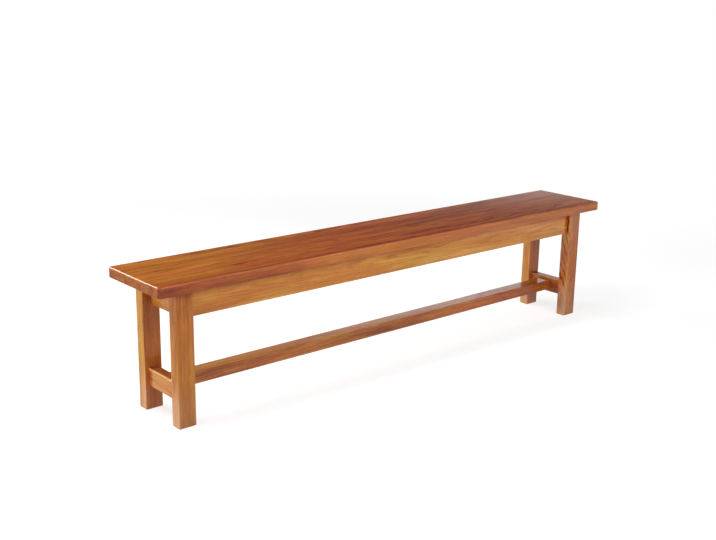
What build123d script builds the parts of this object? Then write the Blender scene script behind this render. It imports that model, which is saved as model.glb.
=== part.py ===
from build123d import *
import math
import os

# A long backless oak bench: three edge-glued boards on a mortised frame of legs,
# rails and an H-shaped set of stretchers. Sizes are millimetres.
# X runs along the bench, Y from its front to its back, Z up.
# The origin is on the floor under the middle of the seat.

# Whole bench
seat_height = 460
seat_length = 2000
seat_depth = 300
seat_thickness = 33

# Seat boards and the loose tongues glued between them
board_names = ["front", "middle", "back"]
tongue_names = ["front", "back"]
seat_corner_radius = 12
seat_top_radius = 5
seat_underside_radius = 3
tongue_thickness = 8
tongue_width = 20
tongue_stop = 60

# Legs, wider along the bench than across it
leg_along = 60
leg_across = 40
leg_end_inset = 72
leg_side_inset = 33
leg_edge_radius = 3
foot_chamfer = 2.5

# Rails under the seat
rail_depth = 88
rail_thickness = 22
rail_edge_radius = 2
long_rail_setback = 15
end_rail_setback = 31

# Rail tenons: the long rail takes the upper half of the leg, the end rail the lower half
rail_tenon_thickness = 10
rail_tenon_parting = 4
rail_tenon_foot = 8
long_rail_tenon = 34
end_rail_tenon = 26
haunch_height = 14
haunch_length = 5

# End stretchers, centred on the legs
end_stretcher_bottom = 79
end_stretcher_height = 58
end_stretcher_thickness = 34
end_stretcher_radius = 2
end_stretcher_tenon = 26
end_stretcher_tenon_thickness = 14
end_stretcher_shoulder = 9

# Long stretcher between the end stretchers
long_stretcher_rise = 12
long_stretcher_height = 38
long_stretcher_width = 55
long_stretcher_radius = 2.5
long_stretcher_tenon = 22
long_stretcher_shoulder = 9

# Bearers across the frame under the seat
bearer_names = ["left", "right"]
bearer_depth = 50
bearer_thickness = 22
bearer_tenon = 8
bearer_tenon_thickness = 10
bearer_shoulder = 10

# Blocks glued and screwed into the corners of the frame
corner_block_thickness = 22
corner_block_height = 45
corner_block_leg_gap = 2
corner_block_drop = 20

# Buttons that hold the seat down and let it swell
button_length = 38
button_width = 28
button_thickness = 20
button_tongue = 7
button_tongue_thickness = 6
button_pull_gap = 0.5
button_groove_drop = 12
button_groove_depth = 8
button_groove_stop = 30
button_place_shares = [-2 / 3, -1 / 6, 1 / 6, 2 / 3]

# Countersunk wood screws
screw_diameter = 4
screw_head_diameter = 8
screw_point_length = 5
screw_point_diameter = 0.8
screw_bite = 15
screw_head_recess = 1
screw_sides = 10

# Fits
cheek_gap = 0.1
end_gap = 1.5
groove_gap = 0.2
screw_gap = 0.15
cut_overrun = 10

# Levels and planes worked out from the sizes above
frame_top = seat_height - seat_thickness
rail_bottom = frame_top - rail_depth
rail_tenon_height = (rail_depth - haunch_height - rail_tenon_parting - rail_tenon_foot) / 2
leg_outer_x = seat_length / 2 - leg_end_inset
leg_inner_x = leg_outer_x - leg_along
leg_outer_y = seat_depth / 2 - leg_side_inset
leg_inner_y = leg_outer_y - leg_across
long_rail_outer_y = leg_outer_y - long_rail_setback
long_rail_inner_y = long_rail_outer_y - rail_thickness
long_rail_mid_y = long_rail_outer_y - rail_thickness / 2
end_rail_outer_x = leg_outer_x - end_rail_setback
end_rail_inner_x = end_rail_outer_x - rail_thickness
end_rail_mid_x = end_rail_outer_x - rail_thickness / 2
leg_mid_x = leg_outer_x - leg_along / 2
end_stretcher_inner_x = leg_mid_x - end_stretcher_thickness / 2
long_stretcher_bottom = end_stretcher_bottom + long_stretcher_rise
board_width = seat_depth / len(board_names)
long_tenon_top = frame_top - haunch_height
end_tenon_top = long_tenon_top - rail_tenon_height - rail_tenon_parting
groove_top = frame_top - button_groove_drop
screw_head_height = (screw_head_diameter - screw_diameter) / 2


def span(x_low, x_high, y_low, y_high, z_low, z_high):
    """Straight-sided solid between two opposite corners."""
    middle = Pos((x_low + x_high) / 2, (y_low + y_high) / 2, (z_low + z_high) / 2)
    return middle * Box(x_high - x_low, y_high - y_low, z_high - z_low)


def eased_bar(axis, solid, radius, keep_top=False):
    """Round the long edges of a bar; its top edges stay sharp where the seat lies on them."""
    edges = solid.edges().filter_by(axis)
    if keep_top:
        edges = edges.group_by(Axis.Z)[0]
    return fillet(edges, radius)


def tenon_pair(reach, root, thickness, bottom, top, middle, along_x):
    """Two tenons that point outwards along X or Y from a bar centred on the origin."""
    low = middle - thickness / 2
    high = middle + thickness / 2
    if along_x:
        near = span(-reach, -root, low, high, bottom, top)
        far = span(root, reach, low, high, bottom, top)
    else:
        near = span(low, high, -reach, -root, bottom, top)
        far = span(low, high, root, reach, bottom, top)
    return near + far


def four_ways(piece):
    """The piece as drawn for the front left corner, mirrored to the other three."""
    right = mirror(piece, Plane.YZ)
    return {
        "front_left": piece,
        "front_right": right,
        "back_left": mirror(piece, Plane.XZ),
        "back_right": mirror(right, Plane.XZ),
    }


def flat_sided(radius):
    """Outline of a small round form, drawn with flat sides."""
    return RegularPolygon(radius, screw_sides)


def screw_form(length, gap):
    """Countersunk screw widened by the gap: its head at zero, its point upwards."""
    head = flat_sided(screw_head_diameter / 2 + gap)
    shank = flat_sided(screw_diameter / 2 + gap)
    point = flat_sided(screw_point_diameter / 2 + gap)
    shank_end = length - screw_point_length
    form = loft([head, Pos(0, 0, screw_head_height) * shank])
    form += Pos(0, 0, screw_head_height) * extrude(shank, shank_end - screw_head_height)
    return form + loft([Pos(0, 0, shank_end) * shank, Pos(0, 0, length + gap) * point])


def screw(length):
    return screw_form(length, 0)


def screw_hole(length, access):
    """Room for a screw, with a bore of the head's width that leads to it from outside."""
    bore = extrude(flat_sided(screw_head_diameter / 2 + screw_gap), -access)
    return screw_form(length, screw_gap) + bore


def write(name, solids):
    """One STEP file per piece; like fasteners share a file as separate solids."""
    shape = solids[0] if len(solids) == 1 else Compound(children=solids)
    shape.label = name
    export_step(shape, f"parts/{name}.step")
    volume = sum(solid.volume for solid in solids)
    print(f"{name}: {len(solids)} solid(s), {volume / 1000:.1f} cm3")


def single(shape):
    """The one solid of a finished piece."""
    return shape.solids()[0]


# Legs: eased posts with three mortises each, drawn at the front left corner

def leg():
    post = span(-leg_outer_x, -leg_inner_x, -leg_outer_y, -leg_inner_y, 0, frame_top)
    post = fillet(post.edges().filter_by(Axis.Z), leg_edge_radius)
    foot_edges = post.faces().sort_by(Axis.Z)[0].edges()
    post = chamfer(foot_edges, foot_chamfer)
    return post - long_rail_mortise() - end_rail_mortise() - end_stretcher_mortise()


def long_rail_mortise():
    """Deep slot for the long rail's tenon, with a shallow one above it for the haunch."""
    low = -long_rail_mid_y - rail_tenon_thickness / 2 - cheek_gap
    high = -long_rail_mid_y + rail_tenon_thickness / 2 + cheek_gap
    bottom = long_tenon_top - rail_tenon_height - cheek_gap
    mouth = -leg_inner_x + cut_overrun
    deep_end = -leg_inner_x - long_rail_tenon - end_gap
    haunch_end = -leg_inner_x - haunch_length - end_gap
    deep = span(deep_end, mouth, low, high, bottom, long_tenon_top + cheek_gap)
    haunch = span(haunch_end, mouth, low, high, bottom, frame_top + cut_overrun)
    return deep + haunch


def end_rail_mortise():
    """Slot below the long rail's, so that the two tenons pass each other in the leg."""
    low = -end_rail_mid_x - rail_tenon_thickness / 2 - cheek_gap
    high = -end_rail_mid_x + rail_tenon_thickness / 2 + cheek_gap
    bottom = end_tenon_top - rail_tenon_height - cheek_gap
    mouth = -leg_inner_y + cut_overrun
    deep_end = -leg_inner_y - end_rail_tenon - end_gap
    haunch_end = -leg_inner_y - haunch_length - cheek_gap
    deep = span(low, high, deep_end, mouth, bottom, end_tenon_top + cheek_gap)
    haunch = span(low, high, haunch_end, mouth, bottom, frame_top + cut_overrun)
    return deep + haunch


def end_stretcher_mortise():
    low = -leg_mid_x - end_stretcher_tenon_thickness / 2 - cheek_gap
    high = -leg_mid_x + end_stretcher_tenon_thickness / 2 + cheek_gap
    bottom = end_stretcher_bottom + end_stretcher_shoulder - cheek_gap
    top = end_stretcher_bottom + end_stretcher_height - end_stretcher_shoulder + cheek_gap
    return span(low, high, -leg_inner_y - end_stretcher_tenon - end_gap, -leg_inner_y + cut_overrun, bottom, top)


# Rails: the front rail and the left end rail are drawn, their mirror images are the others

def front_rail():
    rail = span(-leg_inner_x, leg_inner_x, -long_rail_outer_y, -long_rail_inner_y, rail_bottom, frame_top)
    rail = eased_bar(Axis.X, rail, rail_edge_radius, keep_top=True)
    tenon_bottom = long_tenon_top - rail_tenon_height
    rail += tenon_pair(leg_inner_x + long_rail_tenon, leg_inner_x, rail_tenon_thickness,
                       tenon_bottom, long_tenon_top, -long_rail_mid_y, True)
    rail += tenon_pair(leg_inner_x + haunch_length, leg_inner_x, rail_tenon_thickness,
                       long_tenon_top, frame_top, -long_rail_mid_y, True)
    for place in bearer_places():
        rail -= bearer_mortise(place)
    rail -= button_groove(leg_inner_x, -long_rail_inner_y)
    for hole in corner_block_screw_holes():
        rail -= hole
        rail -= mirror(hole, Plane.YZ)
    return rail


def left_end_rail():
    rail = span(-end_rail_outer_x, -end_rail_inner_x, -leg_inner_y, leg_inner_y, rail_bottom, frame_top)
    rail = eased_bar(Axis.Y, rail, rail_edge_radius, keep_top=True)
    tenon_bottom = end_tenon_top - rail_tenon_height
    rail += tenon_pair(leg_inner_y + end_rail_tenon, leg_inner_y, rail_tenon_thickness,
                       tenon_bottom, end_tenon_top, -end_rail_mid_x, False)
    rail += tenon_pair(leg_inner_y + haunch_length, leg_inner_y, rail_tenon_thickness,
                       end_tenon_top, frame_top, -end_rail_mid_x, False)
    rail -= turned_to_end(button_groove(leg_inner_y, 0), -end_rail_inner_x)
    for hole in corner_block_screw_holes():
        rail -= hole
        rail -= mirror(hole, Plane.XZ)
    return rail


def button_groove(half_length, face):
    """Stopped groove in the inner face of a rail that runs along X."""
    half = half_length - button_groove_stop
    low = groove_top - button_tongue_thickness - groove_gap
    return span(-half, half, face - button_groove_depth, face + cut_overrun, low, groove_top)


def turned_to_end(piece, face):
    """What is drawn at the front rail's inner face, moved to the left end rail's."""
    return Pos(face, 0, 0) * Rot(0, 0, -90) * piece


# Stretchers

def left_end_stretcher():
    top = end_stretcher_bottom + end_stretcher_height
    low = -leg_mid_x - end_stretcher_thickness / 2
    bar = span(low, low + end_stretcher_thickness, -leg_inner_y, leg_inner_y, end_stretcher_bottom, top)
    bar = eased_bar(Axis.Y, bar, end_stretcher_radius)
    bar += tenon_pair(leg_inner_y + end_stretcher_tenon, leg_inner_y, end_stretcher_tenon_thickness,
                      end_stretcher_bottom + end_stretcher_shoulder, top - end_stretcher_shoulder,
                      -leg_mid_x, False)
    return bar - long_stretcher_tenons(cheek_gap, end_gap)


def long_stretcher():
    half = long_stretcher_width / 2
    top = long_stretcher_bottom + long_stretcher_height
    bar = span(-end_stretcher_inner_x, end_stretcher_inner_x, -half, half, long_stretcher_bottom, top)
    bar = eased_bar(Axis.X, bar, long_stretcher_radius)
    return bar + long_stretcher_tenons(0, 0)


def long_stretcher_tenons(side_gap, bottom_gap):
    """Flat tenons on the long stretcher, or with gaps the mortises that take them."""
    top = long_stretcher_bottom + long_stretcher_height
    return tenon_pair(end_stretcher_inner_x + long_stretcher_tenon + bottom_gap, end_stretcher_inner_x,
                      long_stretcher_width - 2 * long_stretcher_shoulder + 2 * side_gap,
                      long_stretcher_bottom + long_stretcher_shoulder - side_gap,
                      top - long_stretcher_shoulder + side_gap, 0, True)


# Bearers, tenoned between the long rails

def bearer_places():
    """Even steps along the clear length between the legs."""
    step = 2 * leg_inner_x / (len(bearer_names) + 1)
    return [(index + 1) * step - leg_inner_x for index in range(len(bearer_names))]


def bearer(place):
    low = place - bearer_thickness / 2
    bottom = frame_top - bearer_depth
    bar = span(low, low + bearer_thickness, -long_rail_inner_y, long_rail_inner_y, bottom, frame_top)
    bar += tenon_pair(long_rail_inner_y + bearer_tenon, long_rail_inner_y, bearer_tenon_thickness,
                      bottom + bearer_shoulder, frame_top - bearer_shoulder, place, False)
    return bar - bearer_screw_room(place)


def bearer_mortise(place):
    low = place - bearer_tenon_thickness / 2 - cheek_gap
    high = place + bearer_tenon_thickness / 2 + cheek_gap
    bottom = frame_top - bearer_depth + bearer_shoulder - cheek_gap
    deep_end = -long_rail_inner_y - bearer_tenon - end_gap
    return span(low, high, deep_end, -long_rail_inner_y + cut_overrun, bottom, frame_top - bearer_shoulder + cheek_gap)


def bearer_screw_level():
    """Head of the screw, sunk into the lower half of the bearer."""
    return frame_top - bearer_depth / 2


def bearer_screw_length():
    return bearer_depth / 2 + screw_bite


def bearer_screw_room(place):
    access = bearer_depth / 2 + cut_overrun
    return Pos(place, 0, bearer_screw_level()) * screw_hole(bearer_screw_length(), access)


def bearer_screw(place):
    return Pos(place, 0, bearer_screw_level()) * screw(bearer_screw_length())


# Corner blocks: mitred across the corner, just clear of the leg's inner edge

corner_block_near = (end_rail_inner_x - leg_inner_x) + (long_rail_inner_y - leg_inner_y)
corner_block_near += corner_block_leg_gap * math.sqrt(2)
corner_block_far = corner_block_near + corner_block_thickness * math.sqrt(2)
corner_screw_place = (corner_block_near + corner_block_far) / 2 - screw_head_recess
corner_screw_start = corner_block_far - corner_screw_place - screw_head_diameter / 2 - screw_head_recess
corner_screw_length = corner_screw_start + screw_bite
corner_block_top = frame_top - corner_block_drop
corner_screw_level = corner_block_top - corner_block_height / 2


def corner_of_frame():
    """Where the inner faces of the front rail and the left end rail meet."""
    return Pos(-end_rail_inner_x, -long_rail_inner_y, 0)


def corner_block():
    outline = Polyline(
        (corner_block_near, 0),
        (corner_block_far, 0),
        (0, corner_block_far),
        (0, corner_block_near),
        close=True,
    )
    bottom = corner_block_top - corner_block_height
    block = corner_of_frame() * Pos(0, 0, bottom) * extrude(make_face(outline), corner_block_height)
    for hole in corner_block_screw_holes():
        block -= hole
    return block


def corner_screw_places():
    """One screw straight into each rail, from a bore in the block's sloping face."""
    to_long_rail = Pos(corner_screw_place, corner_screw_start, corner_screw_level) * Rot(90, 0, 0)
    to_end_rail = Pos(corner_screw_start, corner_screw_place, corner_screw_level) * Rot(0, -90, 0)
    return [corner_of_frame() * to_long_rail, corner_of_frame() * to_end_rail]


def corner_block_screws():
    return [place * screw(corner_screw_length) for place in corner_screw_places()]


def corner_block_screw_holes():
    access = screw_head_diameter + screw_head_recess + cut_overrun
    return [place * screw_hole(corner_screw_length, access) for place in corner_screw_places()]


# Buttons: blocks with a tongue in the rail's groove, each with one screw up into the seat

def button():
    """Drawn at the middle of the front rail, at height zero under the seat."""
    half = button_length / 2
    body_top = -button_pull_gap
    body = span(-half, half, 0, button_width, body_top - button_thickness, body_top)
    tongue_top = -button_groove_drop
    tongue = span(-half, half, -button_tongue, 0, tongue_top - button_tongue_thickness, tongue_top)
    return body + tongue - button_screw_place() * screw_hole(button_screw_length(), cut_overrun)


def button_screw_length():
    return button_thickness + button_pull_gap - screw_head_recess + screw_bite


def button_screw_place():
    return Pos(0, button_width / 2, screw_head_recess - button_pull_gap - button_thickness)


def button_seats():
    """Places of the buttons along all four rails, as turns of the one at the front rail."""
    front = [Pos(share * leg_inner_x, -long_rail_inner_y, frame_top) for share in button_place_shares]
    left = Pos(-end_rail_inner_x, 0, frame_top) * Rot(0, 0, -90)
    half_turn = Rot(0, 0, 180)
    one_side = front + [left]
    return one_side + [half_turn * seat for seat in one_side]


# Seat: one rounded slab, parted into boards with a loose tongue between neighbours

def seat_slab():
    slab = Pos(0, 0, frame_top) * extrude(RectangleRounded(seat_length, seat_depth, seat_corner_radius), seat_thickness)
    slab = fillet(slab.faces().sort_by(Axis.Z)[-1].edges(), seat_top_radius)
    return fillet(slab.faces().sort_by(Axis.Z)[0].edges(), seat_underside_radius)


def tongue_places():
    return [index * board_width - seat_depth / 2 for index in range(1, len(board_names))]


def tongue(place, side_gap, edge_gap):
    """Strip of the seat's own wood at half its thickness, or with gaps the grooves for it."""
    middle = frame_top + seat_thickness / 2
    half = seat_length / 2 - tongue_stop + edge_gap
    reach = tongue_width / 2 + edge_gap
    rise = tongue_thickness / 2 + side_gap
    return span(-half, half, place - reach, place + reach, middle - rise, middle + rise)


def seat_boards():
    slab = seat_slab()
    for place in tongue_places():
        slab -= tongue(place, cheek_gap, end_gap)
    for seat in button_seats():
        slab -= seat * button_screw_place() * screw_hole(button_screw_length(), cut_overrun)
    for place in bearer_places():
        slab -= bearer_screw_room(place)
    boards = []
    for index in range(len(board_names)):
        low = index * board_width - seat_depth / 2
        reach = seat_length / 2 + cut_overrun
        strip = span(-reach, reach, low, low + board_width, frame_top - cut_overrun, seat_height + cut_overrun)
        boards.append(slab & strip)
    return boards


os.makedirs("parts", exist_ok=True)

for name, board in zip(board_names, seat_boards()):
    write(f"seat_board_{name}", [single(board)])
for name, place in zip(tongue_names, tongue_places()):
    write(f"seat_tongue_{name}", [single(tongue(place, 0, 0))])

for name, piece in four_ways(leg()).items():
    write(f"leg_{name}", [single(piece)])
for name, piece in four_ways(corner_block()).items():
    write(f"corner_block_{name}", [single(piece)])

rail_at_front = front_rail()
write("front_rail", [single(rail_at_front)])
write("back_rail", [single(mirror(rail_at_front, Plane.XZ))])
rail_at_left = left_end_rail()
write("left_end_rail", [single(rail_at_left)])
write("right_end_rail", [single(mirror(rail_at_left, Plane.YZ))])

stretcher_at_left = left_end_stretcher()
write("left_end_stretcher", [single(stretcher_at_left)])
write("right_end_stretcher", [single(mirror(stretcher_at_left, Plane.YZ))])
write("long_stretcher", [single(long_stretcher())])

for name, place in zip(bearer_names, bearer_places()):
    write(f"seat_bearer_{name}", [single(bearer(place))])
write("bearer_screws", [single(bearer_screw(place)) for place in bearer_places()])

seats = button_seats()
one_button = button()
one_button_screw = button_screw_place() * screw(button_screw_length())
write("seat_buttons", [single(seat * one_button) for seat in seats])
write("button_screws", [single(seat * one_button_screw) for seat in seats])

block_screws = [four_ways(piece) for piece in corner_block_screws()]
write("corner_block_screws", [single(piece) for ways in block_screws for piece in ways.values()])
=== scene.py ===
# %% [markdown]
# # A long oak bench
# The joiner's work is done before this file starts: every board, leg, rail and screw comes
# in at its real size and place, and stays there. What is left is what a finisher and a
# photographer would do. The oak gets its grain, stain and lacquer, the screws get their
# threads and crosses, and the bench stands on a pale floor in soft light.
#
# Lengths are metres. X runs along the bench, Y from its front to its back, Z up.

# %% Load the finished joinery
import math

import bpy
from mathutils import Matrix, Vector


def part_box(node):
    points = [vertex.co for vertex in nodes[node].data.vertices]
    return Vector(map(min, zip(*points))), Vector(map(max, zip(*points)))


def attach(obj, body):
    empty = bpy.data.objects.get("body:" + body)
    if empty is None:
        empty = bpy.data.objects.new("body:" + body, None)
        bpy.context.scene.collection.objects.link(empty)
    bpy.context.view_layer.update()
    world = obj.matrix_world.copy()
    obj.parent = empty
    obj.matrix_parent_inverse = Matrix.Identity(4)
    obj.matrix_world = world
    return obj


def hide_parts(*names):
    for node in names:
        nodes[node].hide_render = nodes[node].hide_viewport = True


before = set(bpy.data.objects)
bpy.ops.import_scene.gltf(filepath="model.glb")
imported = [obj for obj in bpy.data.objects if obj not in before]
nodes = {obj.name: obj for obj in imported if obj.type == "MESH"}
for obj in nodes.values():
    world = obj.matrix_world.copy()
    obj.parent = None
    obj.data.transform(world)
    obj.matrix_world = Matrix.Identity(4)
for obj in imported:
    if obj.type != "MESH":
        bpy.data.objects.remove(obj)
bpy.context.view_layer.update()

# %% [markdown]
# ## The camera
# The photographer stood at the front left corner, a little over head height for someone
# sitting, and tilted the camera down. The place was found by laying the bench's edges over
# the photo until they met within half a pixel. A lens can be written as an angle, but the
# length in pixels is what such a fit gives, so the lens is worked out from that.

# %% Camera
photo_width = 716
photo_lens_in_pixels = 1065.4
sensor_width_mm = 36
camera_place = Vector((-2.4482, -2.6725, 1.3162))
camera_turn = 0.71359
camera_tilt = 0.27058
camera_roll = 0.01621


def camera_axes():
    """Right, up and backwards of a camera turned from +Y towards +X, tilted down, then rolled."""
    ahead = Vector((math.sin(camera_turn) * math.cos(camera_tilt),
                    math.cos(camera_turn) * math.cos(camera_tilt),
                    -math.sin(camera_tilt)))
    right = ahead.cross(Vector((0, 0, 1))).normalized()
    up = right.cross(ahead)
    rolled_right = math.cos(camera_roll) * right + math.sin(camera_roll) * up
    rolled_up = math.cos(camera_roll) * up - math.sin(camera_roll) * right
    return rolled_right, rolled_up, -ahead


camera_data = bpy.data.cameras.new("camera")
camera_data.sensor_width = sensor_width_mm
camera_data.lens = photo_lens_in_pixels / photo_width * sensor_width_mm
camera = bpy.data.objects.new("camera", camera_data)
turn = Matrix(camera_axes()).transposed().to_4x4()
camera.matrix_world = Matrix.Translation(camera_place) @ turn
bpy.context.scene.collection.objects.link(camera)
bpy.context.scene.camera = camera
print("lens", round(camera_data.lens, 2), "mm")

# %% [markdown]
# ## Sums with sockets
# Wood is a recipe of sums: how far is this point from the heart of the tree, how many rings
# is that, how dark is this ring. Placing a Math node by hand for each plus and minus hides
# the sum, so a small class wraps a socket and lets Python's own signs add the nodes.
# The same expression could be built with a node group, but then the sum couldn't be read.

# %% Sockets that add up
class Wire:
    """An output socket that can stand in a Python sum."""

    def __init__(self, tree, socket):
        self.tree = tree
        self.socket = socket

    def math(self, operation, *values):
        return self.tree.add("ShaderNodeMath", {"operation": operation}, values)

    def __add__(self, other):
        return self.math("ADD", self, other)

    def __sub__(self, other):
        return self.math("SUBTRACT", self, other)

    def __rsub__(self, other):
        return self.math("SUBTRACT", other, self)

    def __mul__(self, other):
        return self.math("MULTIPLY", self, other)

    def __truediv__(self, other):
        return self.math("DIVIDE", self, other)

    __radd__ = __add__
    __rmul__ = __mul__

    def size(self):
        return self.math("ABSOLUTE", self)

    def root(self):
        return self.math("SQRT", self)

    def larger(self, other):
        return self.math("MAXIMUM", self, other)

    def smaller(self, other):
        return self.math("MINIMUM", self, other)

    def step(self, low, high):
        """0 below low and 1 above high, with a soft rise between them."""
        rise = {"interpolation_type": "SMOOTHSTEP"}
        sockets = {"Value": self, "From Min": low, "From Max": high}
        return self.tree.add("ShaderNodeMapRange", rise, sockets)


# %% [markdown]
# ## Trees that the sockets grow on
# Every node comes from one call, add: it takes the node's type, the settings that have to be
# there before the sockets are, and then what goes into each socket, a number or a wire. So a
# long recipe reads from top to bottom. The same class serves both kinds of tree in this file:
# the finishes, and further down the plan of the screws.

# %% Trees and recipes
def set_stops(ramp, stops):
    """A colour ramp's stops as (place, colour) pairs."""
    while len(ramp.elements) > 1:
        ramp.elements.remove(ramp.elements[-1])
    for index, (place, colour) in enumerate(stops):
        element = ramp.elements[0] if index == 0 else ramp.elements.new(place)
        element.position = place
        element.color = (*colour, 1)


class Tree:
    """A node tree that grows one node at a time."""

    def __init__(self, tree):
        self.tree = tree
        self.tree.nodes.clear()

    def add(self, kind, settings, sockets, output=0):
        """A node with its settings first, then its sockets: by name, or in order as a list."""
        node = self.tree.nodes.new(kind)
        for name, value in settings.items():
            if name == "stops":
                set_stops(node.color_ramp, value)
            elif name == "choices":
                while len(node.index_switch_items) < value:
                    node.index_switch_items.new()
            else:
                setattr(node, name, value)
        places = sockets.items() if isinstance(sockets, dict) else enumerate(sockets)
        for place, value in places:
            if isinstance(value, Wire):
                self.tree.links.new(value.socket, node.inputs[place])
            else:
                node.inputs[place].default_value = value
        return Wire(self, node.outputs[output])


class Recipe(Tree):
    """The node tree of one finish."""

    def __init__(self, name):
        self.material = bpy.data.materials.new(name)
        self.material.use_nodes = True
        super().__init__(self.material.node_tree)

    def mix(self, share, one, other, blend="MIX"):
        """One colour turned into the other by a share from 0 to 1."""
        settings = {"data_type": "RGBA", "blend_type": blend}
        return self.add("ShaderNodeMix", settings, {0: share, 6: one, 7: other}, output=2)

    def finish(self, surface):
        output = self.tree.nodes.new("ShaderNodeOutputMaterial")
        self.tree.links.new(surface.socket, output.inputs["Surface"])
        return self.material


# %% [markdown]
# ## Oak from the inside out
# A picture of wood wrapped round a board never meets itself at the corners. Here the board
# is cut from a tree instead: the recipe knows where the heart of the log ran, counts the
# rings from there, and the faces, edges and ends then show the same rings by themselves:
# arches on a flat-cut face, straight lines on its edge, arcs on its end.
#
# The heart leans a little in every board and wanders on its way, which is what draws the
# arches. Two noises do the wandering: a slow one that bends whole groups of rings and a
# quick one that makes each line tremble. Both are stretched along the trunk.

# %% The rings of one board
def stretched(recipe, place, run, along, across):
    """The place scaled less along the run, so that a round noise becomes a streak."""
    scale = [across, across, across]
    scale[run] = along
    return recipe.add("ShaderNodeVectorMath", {"operation": "MULTIPLY"}, [place, scale])


def noise(recipe, vector, detail=2.0, roughness=0.5, output=0):
    sockets = {"Vector": vector, "Scale": 1.0, "Detail": detail, "Roughness": roughness}
    return recipe.add("ShaderNodeTexNoise", {}, sockets, output)


def parts(recipe, vector):
    """The three numbers of a vector as wires."""
    return [recipe.add("ShaderNodeSeparateXYZ", {}, [vector], output=index) for index in range(3)]


# How many waves of a noise fit in a metre along the grain, and how many across it.
bends = (1.6, 9)
trembles = (11, 60)
tremble_in_rings = 1.6


def count_rings(recipe, cut, place, seeded):
    """How many rings this point lies from the heart of the tree."""
    run = cut["run"]
    first, second = [axis for axis in range(3) if axis != run]
    from_heart = recipe.add("ShaderNodeVectorMath", {"operation": "SUBTRACT"},
                            [place, tuple(cut["heart"])])
    local = parts(recipe, from_heart)
    drift = parts(recipe, noise(recipe, stretched(recipe, seeded, run, *bends), output=1))
    tremble = noise(recipe, stretched(recipe, seeded, run, *trembles)) - 0.5
    one = local[first] + local[run] * cut["lean"][0] + (drift[0] - 0.5) * cut["drift"]
    other = local[second] + local[run] * cut["lean"][1] + (drift[1] - 0.5) * cut["drift"]
    squares = one * one + other * other
    return squares.root() / cut["ring"] + tremble * tremble_in_rings


# %% [markdown]
# ## Knots, streaks and painted shade
# Some marks belong to one board only: a small knot near the seat's left end with a red halo,
# dark streaks where the stain sank deep, and painted shade in the dark corners under the seat
# and between parts, with painted light here and there where that shade is lifted. A mark is a
# soft oval on the board, given by its middle and its reach along two axes, and it moves the
# tone up or down and the hue towards red or gold. It can be kept to one pair of faces. Its edge
# is frayed along the grain by the same noise that makes the streaks, so that it doesn't look
# like a sprayed dot; the widest marks fray least.

# %% Marks on a board
X, Y, Z = 0, 1, 2


def mark(axes, middle, reach, tone, red=0.0, face=None, frayed=2.5):
    """A soft oval on the plane of two axes; tone and red are what it adds at its middle."""
    return {"axes": axes, "middle": middle, "reach": reach, "tone": tone, "red": red,
            "face": face, "frayed": frayed}


def marked(cut, local, normal, fray, tone, redness):
    """The tone and the redness of a board, with its marks laid over them."""
    for spot in cut["marks"]:
        one, other = [(local[axis] - centre) / reach for axis, centre, reach
                      in zip(spot["axes"], spot["middle"], spot["reach"])]
        share = 1 - (one * one + other * other + fray * spot["frayed"]).step(0.0, 1.0)
        if spot["face"] is not None:
            share = share * normal[spot["face"]].size()
        tone = tone + share * spot["tone"]
        if spot["red"]:
            redness = redness + share * spot["red"]
    return tone, redness


# %% [markdown]
# ## Stain
# The stain is a honey brown that leans to red where the wood drinks more of it. One ramp of
# tones, from deep red brown to gold, serves every board; a board's own tone says where on
# the ramp its wood lies, which is why the rails look golden and the seat redder.
#
# Each ring of oak starts with a belt of open pores that drink stain and go dark, then turns
# to dense, paler late wood. Over that lie slow streaks along the trunk, fine fibres, and
# the pale ribbons of the rays. End grain drinks most and goes darkest, except on the seat,
# whose ends are as light as its edge.
#
# The hue drifts too. Where the iron-rich stain pooled the board leans to red, elsewhere to
# gold, in patches a hand long. A slow noise of its own turns one tint into the other.

# %% Tones of the stain
stain_tones = [
    (0.00, (0.090, 0.018, 0.006)),
    (0.25, (0.230, 0.055, 0.013)),
    (0.50, (0.380, 0.120, 0.022)),
    (0.75, (0.500, 0.205, 0.036)),
    (1.00, (0.640, 0.340, 0.090)),
]
bare_tones = [
    (0.00, (0.270, 0.155, 0.075)),
    (0.50, (0.480, 0.320, 0.180)),
    (1.00, (0.620, 0.450, 0.280)),
]
golden_tint = (0.96, 1.14, 0.92, 1)
red_tint = (1.02, 0.72, 1.08, 1)
pore_tint = (0.42, 0.32, 0.28, 1)
print(len(stain_tones), "tones of stain and", len(bare_tones), "of bare wood")

# %% [markdown]
# ## Worn arrises, painted highlights and the feet
# Two places are paler. Sleeves and cloths have rubbed the arrises paler, so the recipe
# measures how near a point is to two faces of its board at once. On the seat and the left end
# stretcher that pale line is mostly a painted highlight, as if the rounded arris caught the
# lamps; the seat's goes down to a pale brown of its own. Brooms and shoes have scuffed the feet,
# where the finish is thin and a little grey, and over that lies a painted reflection of the
# pale floor, strongest on the side faces that look along the bench.
#
# Wear is often drawn from how sharply a mesh bends, but that needs many small faces, and the
# joiner's arrises have few. The place on the board says it as well and is always there.

# %% Worn arrises and painted highlights, scuffed feet and a painted floor reflection
# At the feet: scuffs, and a painted reflection of the pale floor, paler and greyer low down.
scuffed_and_floor_sheen = (0.60, 0.40, 0.28, 1)
rubbed_and_highlight = (0.60, 0.26, 0.14, 1)
arris_depth = 0.0055
arris_core = 0.0018
scuff_and_sheen_top = 0.17
scuff_and_sheen_bottom = 0.02


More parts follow.
